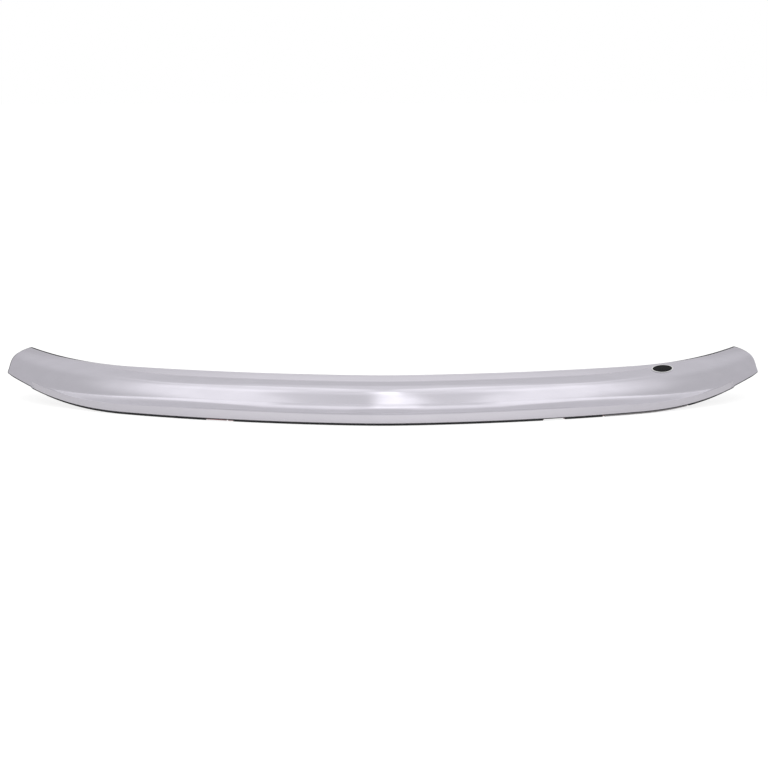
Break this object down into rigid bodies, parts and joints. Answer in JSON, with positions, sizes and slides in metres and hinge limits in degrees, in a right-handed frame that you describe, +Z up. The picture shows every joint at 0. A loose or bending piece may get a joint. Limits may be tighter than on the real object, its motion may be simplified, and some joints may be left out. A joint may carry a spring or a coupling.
{
  "type": "hood bug deflector",
  "caption": "Low chrome shield that wraps a hood's front edge, with a crowned face, two flanges, foam tape, liners and a blank badge.",
  "frame": {"origin": "middle of the lower tape's edge, on the front curve", "axes": "+X across the vehicle, -Y forward, +Z up"},
  "size_m": [1.5012, 0.2537, 0.0992],
  "materials": {
    "chrome_shell": "bright chrome plating on plastic",
    "badge": "gloss black",
    "foam_tape": "black foam",
    "pale_tape": "pale foam",
    "liner": "red release film"
  },
  "bodies": {
    "root": {"shield": "chrome_shell", "badge": "badge", "lower_tape_1": "foam_tape", "lower_tape_2": "foam_tape", "lower_tape_3": "foam_tape", "lower_tape_4": "pale_tape", "lower_tape_5": "foam_tape", "upper_tape_1": "foam_tape", "upper_tape_2": "foam_tape", "upper_tape_3": "foam_tape", "upper_tape_4": "foam_tape", "end_tape_left": "foam_tape", "end_tape_right": "foam_tape", "lower_liner_1": "liner", "lower_liner_2": "liner", "lower_liner_3": "liner", "upper_liner_1": "liner", "upper_liner_2": "liner", "upper_liner_3": "liner", "upper_liner_4": "liner", "end_liner_left": "liner", "end_liner_right": "liner"}
  },
  "joints": []
}
